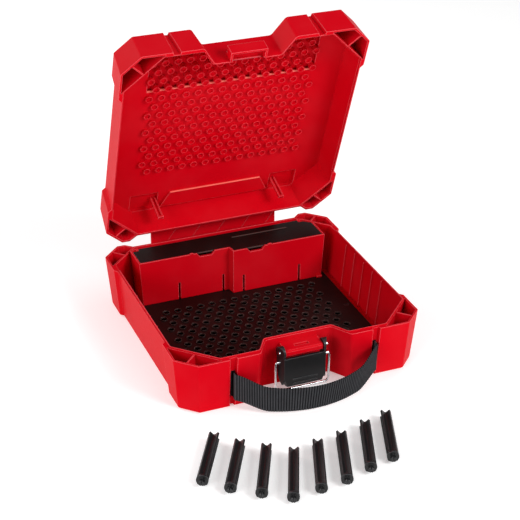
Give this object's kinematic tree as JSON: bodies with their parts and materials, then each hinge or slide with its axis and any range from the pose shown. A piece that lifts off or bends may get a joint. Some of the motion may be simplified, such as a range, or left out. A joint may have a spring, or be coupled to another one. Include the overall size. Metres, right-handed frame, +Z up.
{
  "type": "hole saw storage case",
  "caption": "Hinged moulded case for hole saws, standing open, with peg board, lidded parts bin, over-centre wire latch, webbing carry strap and loose fluted pegs",
  "frame": {"origin": "middle of the case's underside, on the floor", "axes": "+X to the right seen from the front, +Y to the back where the hinge is, +Z up"},
  "size_m": [0.367, 0.5589, 0.421],
  "materials": {
    "red_plastic": "moulded, semi-gloss",
    "black_plastic": "moulded, satin",
    "bright_steel": "zinc plated",
    "dark_steel": "blackened",
    "webbing": "woven, ribbed"
  },
  "bodies": {
    "base": {"base_shell": "red_plastic", "hinge_plate": "red_plastic", "hinge_rod": "bright_steel", "hinge_screws": "bright_steel", "peg_board": "black_plastic", "peg_board_screws": "dark_steel", "latch_pin": "bright_steel", "carry_strap": "webbing", "strap_bar_left": "black_plastic", "strap_bar_right": "black_plastic", "peg_1": "black_plastic", "peg_2": "black_plastic", "peg_3": "black_plastic", "peg_4": "black_plastic", "peg_5": "black_plastic", "peg_6": "black_plastic", "peg_7": "black_plastic", "peg_8": "black_plastic"},
    "lid": {"lid_shell": "red_plastic"},
    "lever": {"latch_lever": "black_plastic"},
    "bail": {"latch_bail": "bright_steel"},
    "bin": {"parts_bin": "red_plastic", "bin_cover_rod": "bright_steel"},
    "cover": {"bin_cover": "black_plastic"}
  },
  "joints": [
    {"name": "lid_hinge", "type": "hinge", "parent": "base", "child": "lid", "pos_m": [0, 0.1692, 0.104], "axis": [1, 0, 0], "range_deg": [-30.8, 69.2]},
    {"name": "latch_lever", "type": "hinge", "parent": "base", "child": "lever", "pos_m": [0, -0.1565, 0.0605], "axis": [1, 0, 0], "range_deg": [-52, 0]},
    {"name": "latch_bail", "type": "hinge", "parent": "lever", "child": "bail", "pos_m": [0, -0.156, 0.0462], "axis": [-1, 0, 0], "range_deg": [0, 188.2]},
    {"name": "bin_lift", "type": "slide", "parent": "base", "child": "bin", "axis": [0, 0, -1], "range_m": [-0.016, 0]},
    {"name": "bin_cover_hinge", "type": "hinge", "parent": "bin", "child": "cover", "pos_m": [0, 0.1444, 0.074], "axis": [1, 0, 0], "range_deg": [-55, 0]}
  ]
}
